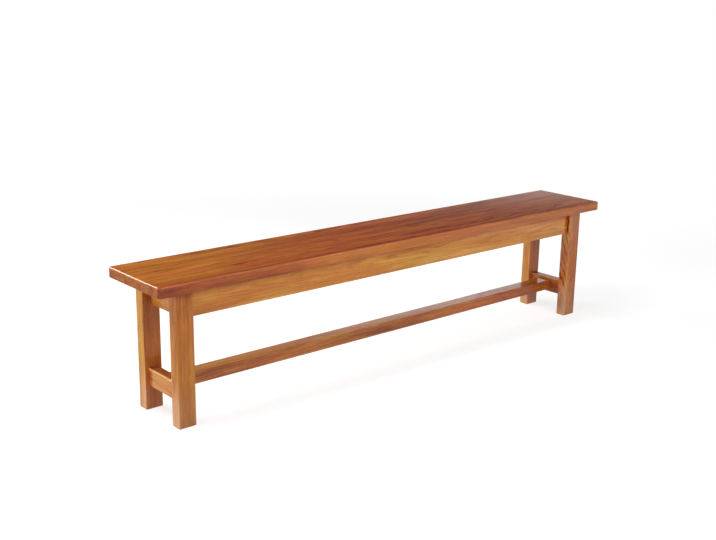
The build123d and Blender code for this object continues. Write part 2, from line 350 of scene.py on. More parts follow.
def near_arris(recipe, cut, local):
    """1 on the arrises that hands and cloths reach, 0 a few millimetres in. The pale line
    there is wear, and on the seat and the left end stretcher mostly a painted highlight.

    On a board that lies down these are only the upper ones.
    """
    low, high = cut["box"]
    inside = [(local[axis] - (low[axis] + high[axis]) / 2).size() - (high[axis] - low[axis]) / 2
              for axis in range(3)]
    run = cut["run"]
    first, second = [axis for axis in range(3) if axis != run]
    nearest = inside[first] + inside[second]
    if cut["worn_ends"]:
        nearest = nearest.larger(inside[first] + inside[run]).larger(inside[second] + inside[run])
    near = nearest.step(-arris_depth, -arris_core)
    if run != Z:
        near = near * (local[Z] - (low[Z] + high[Z]) / 2).step(-0.001, 0.001)
    return near


def worn(recipe, cut, colour, near, slow, local, normal):
    """A colour with the pale arrises and the feet of a board laid over it: wear, a painted
    highlight on the seat's arrises, and scuffs with a painted floor reflection at the feet.
    """
    # On the seat this pale brown is mostly a painted highlight along the rounded arrises.
    if cut["rubbed_and_highlight"]:
        colour = recipe.mix(near * cut["rubbed_and_highlight"], colour, rubbed_and_highlight)
    # Scuffs and a painted reflection of the pale floor at the feet, strongest on the faces that
    # look along the bench.
    if cut["feet"]:
        scuff_and_sheen = (1 - local[Z].step(scuff_and_sheen_bottom, scuff_and_sheen_top)) * (slow * 1.5 + cut["feet"])
        scuff_and_sheen = scuff_and_sheen * (normal[X].size() * 0.65 + 0.35)
        colour = recipe.mix(scuff_and_sheen, colour, scuffed_and_floor_sheen)
    return colour


# %% [markdown]
# ## Oak under lacquer
# Now the parts come together: rings, pores, fibres and ribbons give the tone, the ramp turns
# it into stain, marks, wear and painted light, shade and highlights go over it, and fibres,
# pores and belts raise a bump that is less than half a millimetre high.
#
# Over it all lies a clear satin lacquer. It is thin, so that the surroundings only glide over
# the seat at a low angle, and the pores stay a little open and break the shine.

# %% One board of oak
# Waves in a metre along and across the grain, as before.
grain = {"slow": (2.2, 26), "streak": (9, 190), "fibre": (40, 1100), "pore": (70, 1700),
         "ribbon": (22, 90), "hue": (3.1, 17)}
bump_height = 0.0004


def oak(name, cut, tones=stain_tones):
    """Oak with its rings, pores, fibres and finish, for one board cut from its own tree."""
    recipe = Recipe(name)
    run = cut["run"]
    coat = cut["coat"]
    place = recipe.add("ShaderNodeTexCoord", {}, {}, output="Object")
    seeded = recipe.add("ShaderNodeVectorMath", {"operation": "ADD"}, [place, (cut["seed"],) * 3])
    local = parts(recipe, place)
    normal = parts(recipe, recipe.add("ShaderNodeTexCoord", {}, {}, output="Normal"))

    count = count_rings(recipe, cut, place, seeded)
    phase = count.math("FRACT", count)
    ring = count.math("FLOOR", count)
    uneven = recipe.add("ShaderNodeTexWhiteNoise", {"noise_dimensions": "1D"},
                        {"W": ring + cut["seed"]})
    early = 1 - phase.step(0.05, 0.55)
    belt = early * (0.3 + uneven * 0.7)

    def grained(kind, **how):
        return noise(recipe, stretched(recipe, seeded, run, *grain[kind]), **how)

    slow = grained("slow", detail=3.0) - 0.5
    streak = grained("streak", detail=3.0) - 0.5
    fibre = grained("fibre") - 0.5
    pore = grained("pore", detail=0.0).step(0.58, 0.68) * (0.2 + 0.8 * early)
    ribbon = grained("ribbon", detail=1.0).step(0.60, 0.72)
    ends = normal[run].size().step(0.75, 0.95)

    tone = cut["tone"] + slow * cut["slow"] + streak * cut["streak"] + fibre * 0.14
    for axis, amount in cut["quiet"].items():
        belt = belt * (1 - normal[axis].size() * amount)
    tone = tone + ribbon * cut["rays"] - belt * cut["rings"] - ends * cut["ends"]
    # Painted light and shade: one pair of faces lighter or darker, as that side is lit.
    for axis, amount in cut["faces"].items():
        tone = tone + normal[axis] * normal[axis] * amount
    redness = (grained("hue") - 0.5) * cut["hue"] + cut["red"]
    for axis, amount in cut["hues"].items():
        redness = redness + normal[axis].size() * amount
    tone, redness = marked(cut, local, normal, streak, tone, redness)
    near = near_arris(recipe, cut, local)
    # The arrises lifted in tone: wear, and on the left end stretcher mostly a painted highlight.
    tone = tone + near * (slow * 0.5 + cut["worn"])
    tint = recipe.mix(redness, golden_tint, red_tint)
    stain = recipe.add("ShaderNodeValToRGB", {"stops": tones}, {"Fac": tone})
    stain = recipe.mix(1.0, stain, tint, blend="MULTIPLY")
    dark = recipe.mix(1.0, stain, pore_tint, blend="MULTIPLY")
    colour = recipe.mix(pore * 0.7, stain, dark)
    colour = worn(recipe, cut, colour, near, slow, local, normal)
    height = fibre * 0.3 - pore - belt * 0.35
    bumped = recipe.add("ShaderNodeBump", {}, {
        "Strength": 0.3, "Distance": bump_height, "Height": height})
    surface = recipe.add("ShaderNodeBsdfPrincipled", {}, {
        "Base Color": colour, "Roughness": 0.42 + pore * 0.2 + slow * 0.1, "Normal": bumped,
        "Specular IOR Level": 0.0, "Coat Weight": (1 - ends * 0.3) * coat, "Coat Roughness": 0.14,
        "Coat IOR": 1.5,
    })
    return recipe.finish(surface)


# %% [markdown]
# ## Which tree each board came from
# A cut says which way the grain runs, where the heart of the log lay, how the log leaned in
# the saw, and how deep the stain went in. A heart far below the face gives a flat-cut board
# with arches; a heart out to one side gives quiet straight lines. Each cut can also lift or
# lower the tone of one pair of its faces: that is painted light and shade, the side drawn
# lighter or darker as it is lit.
#
# The words of a cut, in the order of the list below: lean, drift and ring shape the lines, the
# last being the width of one ring. Tone is how light the wood is. Slow, streak, rings and rays
# say how strongly its bands, streaks, belts and ribbons show. Red is how red the board is, and
# hue how much that drifts. Faces and hues change the tone and the redness of one pair of
# faces; that change of tone is painted light and shade, one side lighter or darker as it is
# lit. Quiet takes the belts away on one. Wear_and_highlight lifts the tone of the arrises and
# rubbed_and_highlight mixes in a pale brown there, along the ends too where worn_ends
# says so: wear, and on the seat and the left end stretcher mostly a painted highlight. Ends is
# how dark the end grain goes, feet how scuffed the feet are, with a painted reflection of the
# floor, and coat how much lacquer lies on top.

# %% A board's cut
cut_habits = {
    "lean": (0.012, 0.020), "drift": 0.014, "ring": 0.0034, "tone": 0.5, "slow": 0.9, "streak": 0.5,
    "rings": 0.22, "rays": 0.06, "red": 0.33, "hue": 1.2, "faces": {}, "hues": {}, "quiet": {},
    "marks": [], "worn": 0.12, "rubbed_and_highlight": 0.0, "worn_ends": False, "ends": 0.16, "feet": 0.0,
    "coat": 0.45,
}


def cut(node, run, heart_off, seed, **own):
    """A board's cut; heart_off is how far its heart lies off its middle, across the grain."""
    low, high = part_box(node)
    heart = (low + high) / 2
    first, second = [axis for axis in range(3) if axis != run]
    heart[first] += heart_off[0]
    heart[second] += heart_off[1]
    return {**cut_habits, "box": (low, high), "run": run, "heart": heart, "seed": seed, **own}


seat_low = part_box("seat_board_front")[0]
seat_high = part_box("seat_board_back")[1]
# On the seat the pale arrises and their pale brown are mostly a painted highlight, with a little
# wear.
seat = {"box": (seat_low, seat_high), "worn": 0.05, "rubbed_and_highlight": 0.35, "worn_ends": True,
        "red": 0.64, "streak": 0.42, "rings": 0.18, "slow": 0.60, "ends": 0.0}
rail = {"rings": 0.12, "streak": 0.26, "slow": 0.85, "red": 0.32, "worn": 0.0}
leg = {"feet": 0.36, "streak": 0.50, "slow": 0.75, "worn": 0.04}
bare = {"coat": 0.0, "worn": 0.0, "hue": 0.4}
print("seat from", [round(c, 3) for c in seat_low], "to", [round(c, 3) for c in seat_high])

# %% [markdown]
# ## Marks on the seat
# These marks are what tells one board from the next. They could be painted on an image, but
# an image has an edge and a resolution, and these ovals have neither. Each was placed one by
# one: the knot, the streaks, the darker front edge with painted shade along its bottom, the
# painted shade in the middle of the top, a line of painted light that lifts shade, and the
# drifts as long as an arm. Middles and reaches are metres.

# %% Marks on the seat
seat_front_marks = [
    # The knot and its red halo.
    mark((X, Y), (-0.670, -0.067), (0.030, 0.013), -0.15, red=0.3),
    mark((X, Y), (-0.640, -0.060), (0.120, 0.055), -0.08, red=0.2),
    # The front edge darker, deepest to the left; painted shade along the bottom of the edge on its
    # left, and low on its right half a paler line of painted light that lifts the shade.
    mark((X, Z), (-0.950, 0.443), (0.620, 0.100), -0.25, red=0.10, face=Y, frayed=0.4),
    mark((X, Z), (-0.900, 0.429), (0.900, 0.018), -0.08, red=0.10, face=Y, frayed=0.6),
    mark((X, Z), (0.350, 0.426), (0.900, 0.009), 0.06, red=0.05, frayed=0.6),
    mark((X, Z), (0.800, 0.443), (0.800, 0.200), -0.11, red=0.10, face=Y, frayed=0.4),
    # A red band beside the front arris, and the front left corner.
    mark((X, Y), (-0.100, -0.137), (2.400, 0.013), -0.13, red=0.28, face=Z, frayed=0.8),
    mark((X, Y), (-0.960, -0.140), (0.160, 0.040), -0.07, red=0.20, face=Z, frayed=0.8),
    # The front edge again: its dark ends, and a golden stretch between them.
    mark((X, Z), (-0.990, 0.457), (0.170, 0.034), -0.15, red=0.10, face=Y, frayed=0.6),
    mark((X, Z), (-0.760, 0.432), (0.300, 0.020), 0.06, red=-0.14, face=Y, frayed=0.6),
    mark((X, Z), (1.000, 0.443), (0.200, 0.100), -0.06, face=Y, frayed=0.6),
    # Broad drifts of the top: a paler far corner, a golden near end, and a deeper middle that is
    # painted shade.
    mark((X, Y), (1.000, -0.120), (0.280, 0.070), 0.09, red=-0.05, face=Z, frayed=0.6),
    mark((X, Y), (0.250, -0.100), (0.600, 0.300), -0.02, red=0.05, face=Z, frayed=0.4),
    mark((X, Y), (-1.050, -0.090), (0.800, 0.200), 0.09, red=-0.42, face=Z, frayed=0.4),
]
seat_middle_marks = [
    # A deeper middle of painted shade, three dark streaks, a pale fleck and the golden near end.
    mark((X, Y), (0.250, 0.000), (0.600, 0.300), -0.05, red=0.05, face=Z, frayed=0.4),
    mark((X, Y), (0.260, 0.013), (0.260, 0.014), -0.14),
    mark((X, Y), (-0.850, 0.012), (0.140, 0.006), -0.10),
    mark((X, Y), (-0.400, 0.010), (0.260, 0.006), -0.10),
    mark((X, Y), (0.233, -0.040), (0.040, 0.012), 0.14, red=-0.2),
    mark((X, Y), (-1.050, 0.000), (0.900, 0.200), 0.05, red=-0.42, face=Z, frayed=0.4),
]
seat_back_marks = [
    # A deeper middle of painted shade, a dark streak and the golden near end.
    mark((X, Y), (0.250, 0.100), (0.600, 0.300), -0.05, face=Z, frayed=0.4),
    mark((X, Y), (-0.400, 0.066), (0.240, 0.008), -0.10),
    mark((X, Y), (-1.050, 0.090), (0.900, 0.200), 0.05, red=-0.42, face=Z, frayed=0.4),
]
print(len(seat_front_marks + seat_middle_marks + seat_back_marks), "marks on the seat")

# %% [markdown]
# ## Marks on the frame
# Under the seat the corners are darkened with painted shade: along the top of the rail, beside
# the legs, and where the end stretcher meets a leg. Just below that shade on the rail lie paler
# lines of painted light.

# %% Marks on the frame
rail_marks = [
    # A deeper left end; painted shade in the corner under the seat, with paler lines of painted
    # light below it; a redder right half, and painted shade in the corner at the right leg.
    mark((X, Z), (-0.800, 0.390), (0.260, 0.110), -0.10),
    mark((X, Z), (0.000, 0.424), (3.000, 0.020), -0.12, red=0.4, face=Y, frayed=0.8),
    mark((X, Z), (0.400, 0.408), (1.000, 0.014), 0.09, red=0.30, face=Y, frayed=0.6),
    mark((X, Z), (-0.700, 0.422), (0.350, 0.022), 0.10, red=-0.30, frayed=1.0),
    mark((X, Z), (0.650, 0.360), (0.700, 0.200), 0.03, red=0.20, frayed=0.4),
    mark((X, Z), (0.868, 0.380), (0.016, 0.090), -0.30, red=0.3),
]
stretcher_marks = [
    # A deeper front near the left end; the top in turns pale, deep and pale; a deep right end.
    mark((X, Z), (-0.700, 0.110), (0.260, 0.060), -0.12, face=Y),
    mark((X, Y), (-0.640, 0.000), (0.340, 0.060), 0.19, face=Z),
    mark((X, Y), (0.300, 0.000), (0.360, 0.200), -0.14, face=Z, frayed=0.6),
    mark((X, Y), (-0.240, 0.000), (0.130, 0.060), 0.13, face=Z),
    mark((X, Z), (0.950, 0.110), (0.550, 0.200), -0.20, red=0.2, frayed=0.8),
]
front_left_marks = [
    # Painted shade under the seat, on two faces.
    mark((X, Z), (-0.898, 0.430), (0.070, 0.040), -0.12, red=0.2, face=Y, frayed=1.0),
    mark((X, Z), (-0.898, 0.440), (0.100, 0.130), -0.07, face=Y, frayed=1.0),
    mark((Y, Z), (-0.097, 0.400), (0.060, 0.110), -0.06, face=X, frayed=1.0),
]
front_right_marks = [
    # Painted shade high on the left face, in the corner beside the end of the rail, and a deeper
    # foot.
    mark((Y, Z), (-0.106, 0.383), (0.006, 0.058), -0.50, red=0.4, face=X),
    mark((Y, Z), (-0.095, 0.160), (0.060, 0.160), -0.22, red=0.1, face=X, frayed=0.8),
]
end_stretcher_marks = [
    # Painted shade in the corner at the back leg.
    mark((Y, Z), (0.077, 0.108), (0.026, 0.080), -0.24, red=0.5),
]
print(len(rail_marks + stretcher_marks + end_stretcher_marks), "marks on rail and stretchers,",
      len(front_left_marks + front_right_marks), "on the legs")

# %% [markdown]
# ## The stained boards
# Each board gets its own cut. The three boards of the seat share one box, because the pale
# arrises, painted highlight more than wear, are those of the whole seat and there is none where
# they are glued. The front right leg is the odd one: it was sawn across a leaning log, so broad
# dark flames run down its left face while its front stays quiet.

# %% The stained boards
# The faces of each cut are painted light and shade for that side; hues turn a side redder or more
# golden.
stained_cuts = {
    "seat_board_front": cut("seat_board_front", X, (0.012, -0.075), 3.1, **seat, tone=0.36,
                            faces={Y: 0.28, X: -0.02}, hues={Y: -0.04, X: -0.44},
                            marks=seat_front_marks),
    "seat_board_middle": cut("seat_board_middle", X, (-0.015, -0.090), 7.7, **seat, tone=0.37,
                             faces={X: -0.02}, hues={X: -0.44}, marks=seat_middle_marks),
    "seat_board_back": cut("seat_board_back", X, (0.020, -0.060), 12.4, **seat, tone=0.37,
                           faces={X: -0.02}, hues={X: -0.44}, marks=seat_back_marks),
    "front_rail": cut("front_rail", X, (0.055, 0.010), 21.9, **rail, tone=0.72, marks=rail_marks),
    "back_rail": cut("back_rail", X, (-0.060, -0.012), 29.3, **rail, tone=0.68),
    "long_stretcher": cut("long_stretcher", X, (0.030, -0.050), 33.8, tone=0.51, faces={Z: 0.08},
                          red=0.38, hues={Y: 0.10}, coat=0.60, marks=stretcher_marks),
    "left_end_rail": cut("left_end_rail", Y, (0.050, 0.020), 41.2, tone=0.60),
    "right_end_rail": cut("right_end_rail", Y, (-0.050, 0.015), 47.6, tone=0.55, red=0.5),
    # Its strong lift of the arrises is mostly a painted highlight along the top outer arris.
    "left_end_stretcher": cut("left_end_stretcher", Y, (0.060, -0.020), 52.5, tone=0.72, rings=0.12,
                              red=0.80, hue=0.7, hues={X: -0.46}, worn=0.45, coat=0.60,
                              marks=end_stretcher_marks),
    "right_end_stretcher": cut("right_end_stretcher", Y, (-0.040, 0.020), 58.1, tone=0.40, red=0.6),
    "leg_front_left": cut("leg_front_left", Z, (0.070, 0.012), 63.4, **leg, tone=0.51, coat=0.38,
                          rings=0.15, faces={X: 0.02}, hues={X: -0.15, Y: -0.14},
                          marks=front_left_marks),
    "leg_front_right": cut("leg_front_right", Z, (0.040, 0.040), 68.9, **leg, tone=0.48, rings=0.56,
                           ring=0.014, drift=0.034, lean=(-0.21, -0.21), quiet={Y: 0.88}, red=0.48,
                           coat=0.60, faces={X: 0.27}, hues={X: 0.15}, marks=front_right_marks),
    "leg_back_left": cut("leg_back_left", Z, (0.075, 0.020), 74.7, **leg, tone=0.57, coat=0.40,
                         rings=0.15, faces={X: 0.08}, hues={X: -0.42, Y: 0.38}),
    "leg_back_right": cut("leg_back_right", Z, (-0.050, 0.020), 79.2, **leg, tone=0.57, coat=0.66,
                          faces={X: 0.18}, hues={X: -0.10, Y: 0.45}),
}
print(len(stained_cuts), "stained boards")

# %% [markdown]
# ## Bare wood
# Nobody stains what nobody sees. The bearers, tongues, buttons and corner blocks stay as they
# left the plane: paler, without lacquer, and never rubbed.

# %% The bare wood
bare_cuts = {
    "seat_bearer_left": cut("seat_bearer_left", Y, (0.040, 0.030), 85.1, **bare),
    "seat_bearer_right": cut("seat_bearer_right", Y, (-0.040, 0.030), 89.5, **bare),
    "seat_tongue_front": cut("seat_tongue_front", X, (0.0, -0.050), 93.0, **bare),
    "seat_tongue_back": cut("seat_tongue_back", X, (0.0, 0.050), 97.0, **bare),
    "seat_buttons": cut("seat_buttons", X, (0.0, -0.080), 101.0, **bare),
}
for number, corner in enumerate(("front_left", "front_right", "back_left", "back_right")):
    block = f"corner_block_{corner}"
    bare_cuts[block] = cut(block, X, (0.03, -0.05), 110.0 + number, **bare)
print(len(bare_cuts), "pieces of bare wood")

# %% [markdown]
# ## Dress the joinery
# The joiner's shapes are right as they are, so a piece only changes its material. Two boards
# could share one, but then both would come from the same tree with the same tone, so each
# board gets a material of its own.

# %% Dress the joinery
def dress(node, material):
    """The CAD piece keeps its shape and gets one finish."""
    mesh = nodes[node].data
    mesh.materials.clear()
    mesh.materials.append(material)


for node, board in stained_cuts.items():
    dress(node, oak(f"oak_{node}", board))
for node, board in bare_cuts.items():
    dress(node, oak(f"oak_{node}", board, tones=bare_tones))
front_board = nodes["seat_board_front"].data.materials[0]
print("the front board's recipe has", len(front_board.node_tree.nodes), "nodes")

# %% [markdown]
# ## Zinc plate
# The screws are steel under a thin coat of zinc, which goes dull and cloudy in the hand. The
# clouds change its grey and its polish together, so one noise drives both.

# %% Zinc plate
def zinc():
    recipe = Recipe("zinc_plate")
    place = recipe.add("ShaderNodeTexCoord", {}, {}, output="Object")
    cloud = noise(recipe, stretched(recipe, place, 0, 900, 900), detail=3.0)
    colour = recipe.mix(cloud, (0.42, 0.40, 0.34, 1), (0.62, 0.60, 0.54, 1))
    surface = recipe.add("ShaderNodeBsdfPrincipled", {}, {
        "Base Color": colour, "Metallic": 1.0, "Roughness": 0.30 + cloud * 0.2})
    return recipe.finish(surface)


steel = zinc()
print("finish of the screws:", steel.name)

# %% [markdown]
# ## The plan of a screw
# Twenty countersunk wood screws hold the bench together out of sight: ten draw the buttons up
# to the seat, two pass through the bearers and eight through the corner blocks. On the real
# thing each is a turned blank with a punched cross and a rolled thread.
#
# They are all one shape, only longer or shorter, so geometry nodes draw it once from named
# sizes and set it out on a list of points. One screw modelled by hand and copied would look
# the same, but then a new length would mean drawing it again.
#
# A plan is such a tree. Its named inputs are what the modifier shows as fields.

# %% A tree of geometry nodes with named inputs
class Plan(Tree):
    """Geometry nodes that turn a list of points into finished pieces."""

    def __init__(self, name, inputs):
        super().__init__(bpy.data.node_groups.new(name, "GeometryNodeTree"))
        sockets = self.tree.interface
        sockets.new_socket("Points", in_out="INPUT", socket_type="NodeSocketGeometry")
        for label, kind in inputs.items():
            sockets.new_socket(label, in_out="INPUT", socket_type=kind)
        sockets.new_socket("Pieces", in_out="OUTPUT", socket_type="NodeSocketGeometry")
        self.start = self.tree.nodes.new("NodeGroupInput")

    def field(self, label):
        return Wire(self, self.start.outputs[label])

    def identifiers(self):
        """The key under which a modifier keeps each named input."""
        return {item.name: item.identifier for item in self.tree.interface.items_tree}

    def join(self, *pieces):
        joined = self.tree.nodes.new("GeometryNodeJoinGeometry")
        for piece in pieces:
            self.tree.links.new(piece.socket, joined.inputs["Geometry"])
        return Wire(self, joined.outputs["Geometry"])

    def finish(self, pieces):
        end = self.tree.nodes.new("NodeGroupOutput")
        self.tree.links.new(pieces.socket, end.inputs["Pieces"])


# %% [markdown]
# ## The blank and its cross
# The blank is turned: a line of five points stands on the screw's axis, and a circle swept
# along it takes a different radius at each point. That gives the rim of the head, its cone,
# the core and the point in one closed skin. The screw stands on its head, point up.
#
# The cross is two tapered bars across each other, cut out of the head one after the other.
# The second is a little shallower, because a cut whose floor lies exactly in the floor of the
# one before it leaves holes in the skin.

# %% Turn the blank and punch the cross
point_share = 0.15
cross_taper = 0.35


def by_point(plan, values):
    """A number of its own for each point of a line."""
    index = plan.add("GeometryNodeInputIndex", {}, {})
    settings = {"data_type": "FLOAT", "choices": len(values)}
    return plan.add("GeometryNodeIndexSwitch", settings, [index, *values])


def moved(plan, geometry, x, y, z):
    place = plan.add("ShaderNodeCombineXYZ", {}, [x, y, z])
    return plan.add("GeometryNodeSetPosition", {}, {"Geometry": geometry, "Position": place})


def turned_blank(plan):
    length = plan.field("Length")
    head = plan.field("Head Diameter") / 2
    core = plan.field("Core Diameter") / 2
    heights = [0.0, plan.field("Rim"), plan.field("Head Height"), length - plan.field("Point"),
               length]
    axis = plan.add("GeometryNodeMeshLine", {}, {"Count": len(heights)})
    axis = moved(plan, axis, 0.0, 0.0, by_point(plan, heights))
    axis = plan.add("GeometryNodeMeshToCurve", {}, [axis])
    bar = plan.add("GeometryNodeCurvePrimitiveCircle", {}, {"Resolution": 24, "Radius": 1.0})
    radii = by_point(plan, [head, head, core, core, core * point_share])
    return plan.add("GeometryNodeCurveToMesh", {}, {
        "Curve": axis, "Profile Curve": bar, "Scale": radii, "Fill Caps": True})


def cross_bar(plan, angle, depth):
    """One bar of the cross, narrower at its bottom, turned about the screw's axis."""
    size = plan.add("ShaderNodeCombineXYZ", {}, [
        plan.field("Cross Reach"), plan.field("Cross Width"), depth * 2])
    bar = plan.add("GeometryNodeMeshCube", {}, {"Size": size})
    x, y, z = parts(plan, plan.add("GeometryNodeInputPosition", {}, {}))
    narrower = 1 - z / depth * cross_taper
    bar = moved(plan, bar, x * narrower, y * narrower, z)
    return plan.add("GeometryNodeTransform", {}, {"Geometry": bar, "Rotation": (0, 0, angle)})


# %% [markdown]
# ## The thread
# The thread is a spiral swept by a small triangle. Near the point the spiral closes in on the
# axis and the triangle shrinks with it, so the thread runs out to nothing as a rolled one does.
# The triangle is half sunk in the core, which hides its base.

# %% Roll the thread
stops_short = 0.0004
thinnest = 0.12


def rolled_thread(plan):
    core = plan.field("Core Diameter") / 2
    crest = plan.field("Thread Diameter") / 2 - core
    start = plan.field("Plain Shank")
    run = plan.field("Length") - start - stops_short
    spiral = plan.add("GeometryNodeCurveSpiral", {}, {
        "Resolution": 14, "Rotations": run / plan.field("Pitch"), "Start Radius": core,
        "End Radius": core, "Height": run, "Reverse": False})
    x, y, z = parts(plan, plan.add("GeometryNodeInputPosition", {}, {}))
    closing = ((run - z) / plan.field("Point")).smaller(1.0).larger(thinnest)
    spiral = moved(plan, spiral, x * closing, y * closing, z)
    spiral = plan.add("GeometryNodeSetCurveNormal", {"mode": "Z_UP"}, [spiral])
    ridge = plan.add("GeometryNodeCurvePrimitiveCircle", {}, {"Resolution": 3, "Radius": crest})
    ridge = plan.add("GeometryNodeTransform", {}, {"Geometry": ridge, "Rotation": (0, 0, math.pi)})
    thread = plan.add("GeometryNodeCurveToMesh", {}, {
        "Curve": spiral, "Profile Curve": ridge, "Scale": closing, "Fill Caps": True})
    lift = plan.add("ShaderNodeCombineXYZ", {}, {"Z": start})
    return plan.add("GeometryNodeTransform", {}, {"Geometry": thread, "Translation": lift})


# %% [markdown]
# ## Set out and driven
# Each point of the list carries the direction in which its screw is driven. The screw turns
# its point that way, and is then spun about its own axis by a random angle, because no two
# crosses ever stop in line. The seed is a named input, so the angles are the same each time.
#
# Faces are smooth except where two meet at more than 30 degrees, so the cone looks turned
# and the cross keeps its crisp edges. The tree ends by making the copies real.

# %% The plan of the screws
screw_fields = ("Length", "Head Diameter", "Head Height", "Rim", "Core Diameter", "Thread Diameter",
                "Pitch", "Point", "Plain Shank", "Cross Reach", "Cross Width", "Cross Depth")
second_cut = 0.93
crisp_angle = math.radians(30)


def draw_screws():
    sizes = {label: "NodeSocketFloat" for label in screw_fields}
    plan = Plan("screws", {**sizes, "Seed": "NodeSocketInt"})
    blank = turned_blank(plan)
    for angle, share in ((0.0, 1.0), (math.pi / 2, second_cut)):
        bar = cross_bar(plan, angle, plan.field("Cross Depth") * share)
        blank = plan.add("GeometryNodeMeshBoolean", {"operation": "DIFFERENCE"}, [blank, bar])
    screw = plan.join(blank, rolled_thread(plan))

    screw = plan.add("GeometryNodeSetShadeSmooth", {"domain": "FACE"}, {
        "Geometry": screw, "Shade Smooth": True})
    angle = plan.add("GeometryNodeInputMeshEdgeAngle", {}, {})
    crisp = angle.math("GREATER_THAN", angle, crisp_angle)
    screw = plan.add("GeometryNodeSetShadeSmooth", {"domain": "EDGE"}, {
        "Geometry": screw, "Selection": crisp, "Shade Smooth": False})

    driven = plan.add("GeometryNodeInputNamedAttribute", {"data_type": "FLOAT_VECTOR"}, {
        "Name": "driven"})
    aim = plan.add("FunctionNodeAlignRotationToVector", {"axis": "Z"}, {"Vector": driven})
    turn = plan.add("FunctionNodeRandomValue", {}, {
        2: 0.0, 3: math.tau, "Seed": plan.field("Seed")}, output=1)
    spin = plan.add("FunctionNodeAxisAngleToRotation", {}, {"Axis": (0, 0, 1), "Angle": turn})
    aim = plan.add("FunctionNodeRotateRotation", {"rotation_space": "LOCAL"}, [aim, spin])
    set_out = plan.add("GeometryNodeInstanceOnPoints", {}, {
        "Points": plan.field("Points"), "Instance": screw, "Rotation": aim})
    real = plan.add("GeometryNodeRealizeInstances", {}, [set_out])
    plan.finish(plan.add("GeometryNodeSetMaterial", {}, {"Geometry": real, "Material": steel}))
    return plan


screw_plan = draw_screws()
print("screw plan:", len(screw_plan.tree.nodes), "nodes")

# %% [markdown]
# ## A set of screws
# The joinery has three sets, those of the buttons, of the bearers and of the corner blocks,
# and each becomes one piece. A set is made as a handful of loose points. The plan turns them
# into screws, and the result is kept as a plain mesh, without the plan, because that is what
# other programs can read.

# %% A set of screws
common_sizes = {
    "Head Diameter": 0.0080, "Head Height": 0.0021, "Rim": 0.0003, "Core Diameter": 0.0026,
    "Thread Diameter": 0.0040, "Pitch": 0.0018, "Point": 0.0050, "Cross Reach": 0.0046,
    "Cross Width": 0.0010, "Cross Depth": 0.0019,
}
plain_share = 0.35


def screws(node, places, directions, length, seed):
    """One plain mesh with a screw at each place, in place of the joinery's simple ones."""
    mesh = bpy.data.meshes.new(f"{node}_places")
    mesh.from_pydata(places, [], [])
    driven = mesh.attributes.new("driven", "FLOAT_VECTOR", "POINT")
    for point, direction in zip(driven.data, directions):
        point.vector = direction
    piece = bpy.data.objects.new(f"{node}_threaded", mesh)
    bpy.context.scene.collection.objects.link(piece)
    modifier = piece.modifiers.new("screws", "NODES")
    modifier.node_group = screw_plan.tree
    sizes = {**common_sizes, "Length": length, "Plain Shank": length * plain_share, "Seed": seed}
    keys = screw_plan.identifiers()
    for label, value in sizes.items():
        modifier[keys[label]] = value
    evaluated = piece.evaluated_get(bpy.context.evaluated_depsgraph_get())
    finished = bpy.data.meshes.new_from_object(evaluated)
    piece.modifiers.clear()
    piece.data = finished
    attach(piece, "root")
    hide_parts(node)
    print(node, len(places), "screws,", len(finished.polygons), "faces")


# %% [markdown]
# ## Where the screws go
# A head sits a little below the face that it was driven into, and its point stops short of the
# seat's top. The places follow the joinery: the buttons stand in a row along each rail
# and one at each end, the bearers cross the frame, and each corner block has two screws, one
# into each rail. What is the same at all four corners is written once and mirrored.

# %% Set the screws
def mirrored(x, y, z):
    """The same place at all four corners of the bench."""
    return [(side * x, depth * y, z) for side in (-1, 1) for depth in (-1, 1)]


up = (0, 0, 1)
button_height = 0.4075
bearer_height = 0.402
block_height = 0.3845
button_places = mirrored(0.5787, 0.066, button_height) + mirrored(0.1447, 0.066, button_height)
button_places += [(-0.861, 0, button_height), (0.861, 0, button_height)]
bearer_places = [(-0.2893, 0, bearer_height), (0.2893, 0, bearer_height)]
screws("button_screws", button_places, [up] * len(button_places), length=0.0345, seed=3)
screws("bearer_screws", bearer_places, [up] * len(bearer_places), length=0.0400, seed=5)

to_long_rail = mirrored(0.8476, 0.0684, block_height)
to_end_rail = mirrored(0.8634, 0.0526, block_height)
outwards = [(0, math.copysign(1, y), 0) for x, y, z in to_long_rail]
endwards = [(math.copysign(1, x), 0, 0) for x, y, z in to_end_rail]
screws("corner_block_screws", to_long_rail + to_end_rail, outwards + endwards,
       length=0.0266, seed=8)

# %% [markdown]
# ## A sheet of paper
# The bench stands on a wide round sheet of pale paper. Far away the paper turns up into a low
# rim, so that a camera near the floor still has white behind the bench. A tall backdrop would
# do that too, but the seat would mirror it. The rim stays under seven degrees as the seat sees
# it, lower than anything that the seat mirrors for the camera of the photo.

# %% The paper
floor_reach = 40.0
rim_height = 4.8
rim_sides = 96
turns = [math.tau * side / rim_sides for side in range(rim_sides)]
circle = [(floor_reach * math.cos(turn), floor_reach * math.sin(turn)) for turn in turns]
floor_mesh = bpy.data.meshes.new("floor")
paper_corners = [(x, y, 0.0) for x, y in circle] + [(x, y, rim_height) for x, y in circle]
paper_faces = [tuple(range(rim_sides))]
for side in range(rim_sides):
    beside = (side + 1) % rim_sides
    paper_faces.append((side, side + rim_sides, beside + rim_sides, beside))
floor_mesh.from_pydata(paper_corners, [], paper_faces)
floor = bpy.data.objects.new("floor", floor_mesh)
bpy.context.scene.collection.objects.link(floor)
print("floor", floor_reach, "m to its rim")

# %% [markdown]
# ## White to the camera
# The photo is a cut-out on white, so the floor is white to the camera and to reflections,
# but still takes the bench's shadow and throws a natural amount of light back up. Near the
# bench it is part white paper and part glow; further out the glow takes over, because no
# lamp reaches that far and paper alone would turn grey there.

# %% The pale floor
# How far from the bench's middle the paper begins and ends to give way to white.
paper_fades = (1.6, 3.2)
paper_glow = 0.72


